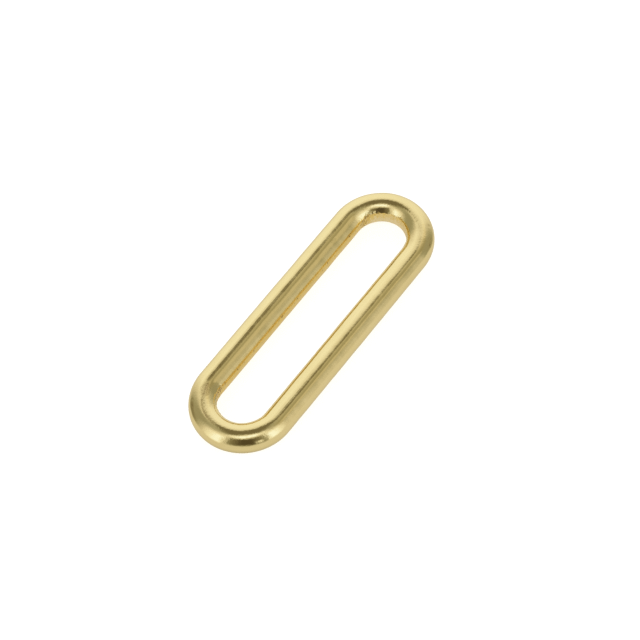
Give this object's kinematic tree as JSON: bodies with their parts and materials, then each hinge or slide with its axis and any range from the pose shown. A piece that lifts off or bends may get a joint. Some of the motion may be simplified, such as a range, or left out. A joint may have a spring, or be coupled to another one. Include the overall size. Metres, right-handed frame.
{
  "type": "strap slider loop",
  "caption": "Closed oval loop of round solid brass bar with one long slot that a flat strap slides through, used as a slider or keeper beside a buckle.",
  "frame": {"origin": "middle of the slot, half way up the bar", "axes": "+X along the straight bars, +Y across the slot, +Z through the slot, with the loop lying flat"},
  "size_m": [0.0476, 0.0148, 0.004],
  "materials": {
    "brass": "tumble-polished cast brass, bright with fine polish lines; the trimmed inner land is duller, tan and slightly pitted"
  },
  "bodies": {
    "root": {"loop_casting": "brass"}
  },
  "joints": []
}
